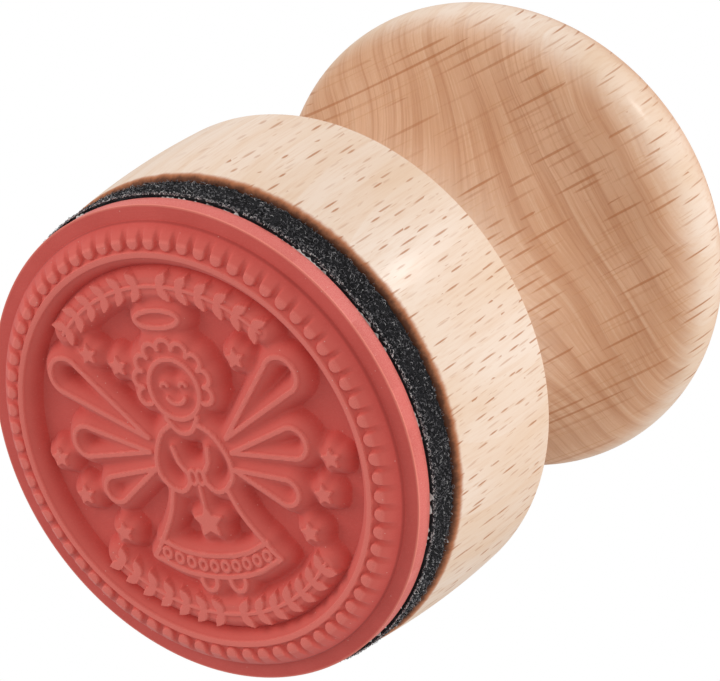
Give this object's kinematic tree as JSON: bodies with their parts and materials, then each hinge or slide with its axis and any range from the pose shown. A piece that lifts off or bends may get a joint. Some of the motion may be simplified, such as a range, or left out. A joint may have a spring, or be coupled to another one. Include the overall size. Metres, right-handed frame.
{
  "type": "round wooden rubber stamp",
  "caption": "Hand stamp: turned wooden knob handle, felt cushion and round engraved rubber die with a beaded rim, ring line and raised pictorial artwork.",
  "frame": {"origin": "centre of the printing face, the plane of the artwork's raised tops, which the stamp stands on", "axes": "+Z along the handle's axis from the rubber die to the knob; +Y to the artwork's top edge"},
  "size_m": [0.0316, 0.0316, 0.0424],
  "materials": {
    "beech": "satin lacquer over turned beech",
    "felt": "matte pressed fibre",
    "adhesive": "dull film",
    "rubber": "matte laser-engraved rubber"
  },
  "bodies": {
    "handle_body": {"handle": "beech", "adhesive_upper": "adhesive", "felt_cushion": "felt"},
    "die_body": {"rubber_die": "rubber", "adhesive_lower": "adhesive"}
  },
  "joints": [
    {"name": "cushion_press", "type": "slide", "parent": "handle_body", "child": "die_body", "axis": [0, 0, 1], "range_m": [0, 0.0004], "stiffness_N_per_m": 200000, "deforming": ["felt_cushion"]}
  ]
}
